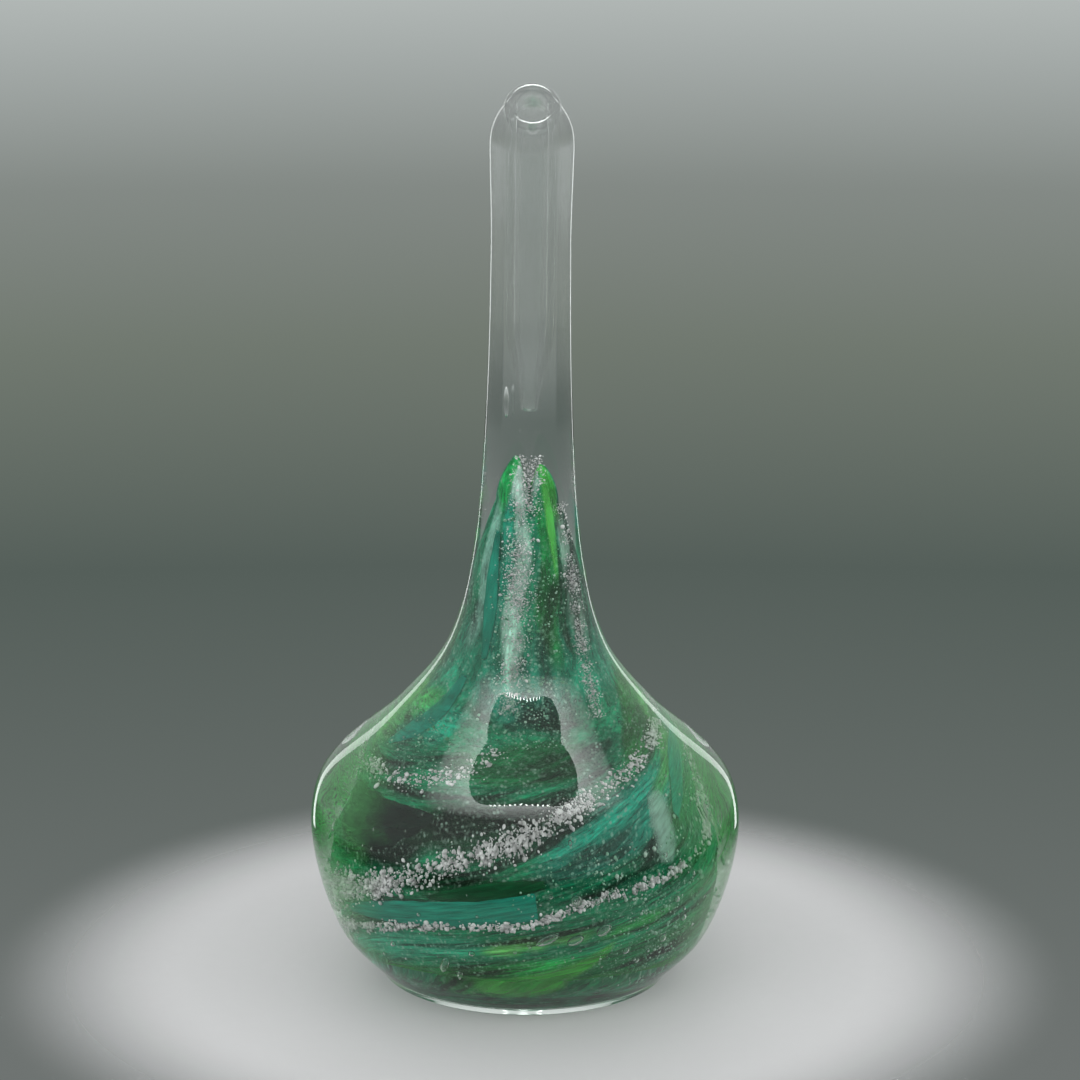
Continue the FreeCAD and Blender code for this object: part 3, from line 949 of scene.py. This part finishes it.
# Soft lamps that light the vase: name, place, height that they aim at, size, power.
FILLS = (
    ("front_fill", (0, -0.8, 0.75), 0.05, (0.9, 0.6), 3.4),
    ("left_fill", (-0.8, -0.3, 0.4), 0.06, (0.6, 0.6), 2.4),
    ("right_fill", (0.8, -0.3, 0.4), 0.06, (0.6, 0.6), 2.4),
    ("back_fill", (0, 0.9, 0.6), 0.06, (0.9, 0.6), 2.6),
)


def softbox_glow(name, strength):
    """A lamp face that shines downwards and is clear where its glow has faded to nothing."""
    material, add = new_material(name)
    glow = add("ShaderNodeAttribute", attribute_name="glow").outputs["Fac"]
    behind = add("ShaderNodeNewGeometry").outputs["Backfacing"]
    ahead = add("ShaderNodeMath", {0: 1.0, 1: behind}, operation="SUBTRACT")
    seen = add("ShaderNodeMath", {0: glow, 1: ahead.outputs[0]}, operation="MULTIPLY")
    shine = add("ShaderNodeEmission", {"Color": (0.95, 1.0, 0.98, 1), "Strength": strength})
    clear = add("ShaderNodeBsdfTransparent").outputs[0]
    mixed = add("ShaderNodeMixShader", {0: seen.outputs[0], 1: clear, 2: shine.outputs[0]})
    material.cycles.emission_sampling = "NONE"
    return surfaced(material, add, mixed)


def stage_mesh(name, bm, material, camera=False):
    """Turn a bmesh into a part of the stage. Only the floor is seen by the camera."""
    mesh = bpy.data.meshes.new(name)
    bm.to_mesh(mesh)
    bm.free()
    mesh.materials.append(material)
    shown = bpy.data.objects.new(name, mesh)
    bpy.context.scene.collection.objects.link(shown)
    shown.visible_camera = camera
    shown.visible_shadow = camera
    return shown


def lit_face(name, bm, strength, light=lambda vert: 1):
    """Hang a lamp face that only reflections show, with a share of its glow at each vertex."""
    glow = bm.verts.layers.float.new("glow")
    for vert in bm.verts:
        vert[glow] = light(vert)
    bm.normal_update()
    bmesh.ops.reverse_faces(bm, faces=[f for f in bm.faces if f.normal.z > 0])
    shown = stage_mesh(name, bm, softbox_glow(name.replace("_", " ").capitalize(), strength))
    shown.visible_diffuse = False
    shown.visible_transmission = False


def softbox(name, place, aim, size, power):
    """A soft lamp that lights the vase but leaves no shape in its reflections."""
    lamp = bpy.data.lights.new(name, "AREA")
    lamp.shape = "RECTANGLE"
    lamp.size, lamp.size_y = size
    lamp.energy = power
    holder = bpy.data.objects.new(name, lamp)
    holder.location = place
    holder.rotation_euler = (aim - Vector(place)).to_track_quat("-Z", "Y").to_euler()
    bpy.context.scene.collection.objects.link(holder)
    holder.visible_camera = False
    holder.visible_glossy = False
    holder.visible_transmission = False


class BUDVASE_OT_stage(bpy.types.Operator):
    """Pale floor, soft lamps, backdrop and camera"""
    bl_idname = "bud_vase.stage"
    bl_label = "Studio"

    def execute(self, context):
        settings = context.scene.bud_vase_stage
        self.floor(settings)
        self.lamps()
        self.backdrop()
        lens = bpy.data.cameras.new("camera")
        lens.lens = settings.lens
        lens.sensor_width = 36
        lens.clip_start = 0.01
        camera = bpy.data.objects.new("camera", lens)
        camera.location = settings.camera
        camera.rotation_euler = (math.pi / 2 - settings.dip, 0, 0)
        context.scene.collection.objects.link(camera)
        context.scene.camera = camera
        context.scene.view_settings.view_transform = "Standard"
        context.scene.cycles.max_bounces = 32
        context.scene.cycles.transmission_bounces = 32
        context.scene.cycles.transparent_max_bounces = 24
        return {"FINISHED"}

    def floor(self, settings):
        material, add = new_material("Pale floor")
        place = add("ShaderNodeTexCoord").outputs["Object"]
        away = add("ShaderNodeVectorMath", {0: place}, operation="LENGTH").outputs["Value"]
        fade = add("ShaderNodeMapRange", {
            "Value": away, "From Min": FLOOR_FADE[0], "From Max": FLOOR_FADE[1],
            "To Min": 1.0, "To Max": 0.0}, interpolation_type="SMOOTHSTEP")
        grain = add("ShaderNodeTexNoise", {"Vector": place, "Scale": 300.0, "Detail": 2.0})
        rough = stretched(add, grain.outputs["Fac"], 0.5, 0.65)
        board = add("ShaderNodeBsdfPrincipled", {
            "Base Color": (*settings.floor, 1), "Roughness": rough, "Alpha": fade.outputs[0]})
        surfaced(material, add, board)
        bm = bmesh.new()
        bmesh.ops.create_circle(bm, cap_ends=True, segments=96, radius=FLOOR_R)
        for vert in bm.verts:
            vert.co.z = -0.0002
        stage_mesh("floor", bm, material, camera=True)

    def overhead_softbox(self):
        """A squarish ring of light, brightest at its inner rim."""
        bm = bmesh.new()
        bmesh.ops.create_circle(bm, cap_ends=True, segments=72, radius=len(RIMS))
        for _ in RIMS[1:]:
            core = max(bm.faces, key=lambda f: len(f.verts))
            bmesh.ops.inset_region(bm, faces=[core], thickness=1, use_boundary=True)
        hole = max(bm.faces, key=lambda f: len(f.verts))
        bmesh.ops.delete(bm, geom=[hole], context="FACES_ONLY")
        bm.verts.index_update()
        shares = []
        for vert in bm.verts:
            rim = round(vert.co.length)
            centre, wide, deep, share = RIMS[rim - 1]
            square = 2 / (4.6 - rim)
            along, ahead = vert.co.x / rim, vert.co.y / rim
            vert.co = (math.copysign(abs(along) ** square, along) * wide,
                       centre + math.copysign(abs(ahead) ** square, ahead) * deep, CEILING)
            shares.append(share)
        lit_face("overhead_softbox", bm, 6.5, lambda vert: shares[vert.index])

    def lamps(self):
        self.overhead_softbox()
        bm = bmesh.new()
        for step in range(ROW_LAMPS):
            turn = math.radians(ROW_START + ROW_SWEEP * step / (ROW_LAMPS - 1))
            at = (0.034 * math.sin(turn), -0.0475 - 0.0048 * math.cos(turn), CEILING - 0.0005)
            bmesh.ops.create_circle(bm, cap_ends=True, segments=8, radius=ROW_LAMP_R,
                                    matrix=Matrix.Translation(at))
        lit_face("lamp_row", bm, 30)
        bm = bmesh.new()
        bmesh.ops.create_circle(bm, cap_ends=True, cap_tris=True, segments=24, radius=HIGH_BOX_R,
                                matrix=Matrix.Translation((0, 0.06, 0.6)))
        lit_face("high_softbox", bm, 26, lambda vert: len(vert.link_edges) > 3)
        bm = bmesh.new()
        for side in (-1, 1):
            place = Vector((side * 0.27, 0.5, 0.14))
            turned = (Vector((0, 0, 0.1)) - place).to_track_quat("Z", "Y").to_matrix().to_4x4()
            bmesh.ops.create_grid(bm, x_segments=1, y_segments=1, size=1,
                                  matrix=Matrix.Translation(place) @ turned
                                  @ Matrix.Diagonal(STRIP_HALF))
        lit_face("side_strips", bm, 2.2)
        for name, place, level, size, power in FILLS:
            softbox(name, place, Vector((0, 0, level)), size, power)

    def backdrop(self):
        world = bpy.data.worlds.new("Grey green backdrop")
        bpy.context.scene.world = world
        world.use_nodes = True
        world.node_tree.nodes.clear()
        add = maker(world.node_tree)
        way = add("ShaderNodeTexCoord").outputs["Generated"]
        up = add("ShaderNodeSeparateXYZ", {0: way}).outputs["Z"]
        share = add("ShaderNodeMapRange", {"Value": up, "From Min": -0.55, "From Max": 0.25})
        tone = ramp(add, share.outputs[0], (
            (0.0, srgb("#7c8280")), (0.22, srgb("#6e7371")), (0.34, srgb("#555f5a")),
            (0.40, srgb("#717970")), (0.443, srgb("#848a86")), (0.476, srgb("#a3a9a7")),
            (0.50, srgb("#b6bcba")), (1.0, srgb("#dfe4e2"))))
        glow = add("ShaderNodeBackground", {"Color": tone, "Strength": 1.0})
        add("ShaderNodeOutputWorld", {"Surface": glow.outputs[0]})


class BUDVASE_PT_panel(bpy.types.Panel):
    """Builds the vase piece by piece"""
    bl_label = "Bud Vase"
    bl_idname = "BUDVASE_PT_panel"
    bl_space_type = "VIEW_3D"
    bl_region_type = "UI"
    bl_category = "Bud Vase"

    def draw(self, context):
        for group in SETTINGS:
            settings = getattr(context.scene, group)
            box = self.layout.box()
            for key in settings.__annotations__:
                box.prop(settings, key)
        for operator in MAKERS:
            self.layout.operator(operator.bl_idname)


SETTINGS = {
    "bud_vase_casing": BudVaseCasing,
    "bud_vase_core": BudVaseCore,
    "bud_vase_frit": BudVaseFrit,
    "bud_vase_stage": BudVaseStage,
}
MAKERS = (BUDVASE_OT_stage, BUDVASE_OT_casing, BUDVASE_OT_core, BUDVASE_OT_sheets,
          BUDVASE_OT_frit, BUDVASE_OT_bubbles)
CLASSES = (*SETTINGS.values(), *MAKERS, BUDVASE_PT_panel)


def register():
    for kind in CLASSES:
        bpy.utils.register_class(kind)
    for name, kind in SETTINGS.items():
        setattr(bpy.types.Scene, name, PointerProperty(type=kind))


def unregister():
    for name in SETTINGS:
        delattr(bpy.types.Scene, name)
    for kind in reversed(CLASSES):
        bpy.utils.unregister_class(kind)


def main():
    register()
    bpy.ops.bud_vase.stage()
    bpy.ops.bud_vase.casing()
    bpy.ops.bud_vase.core()
    bpy.ops.bud_vase.sheets()
    bpy.ops.bud_vase.frit()
    bpy.ops.bud_vase.bubbles()


if __name__ == "__main__":
    main()
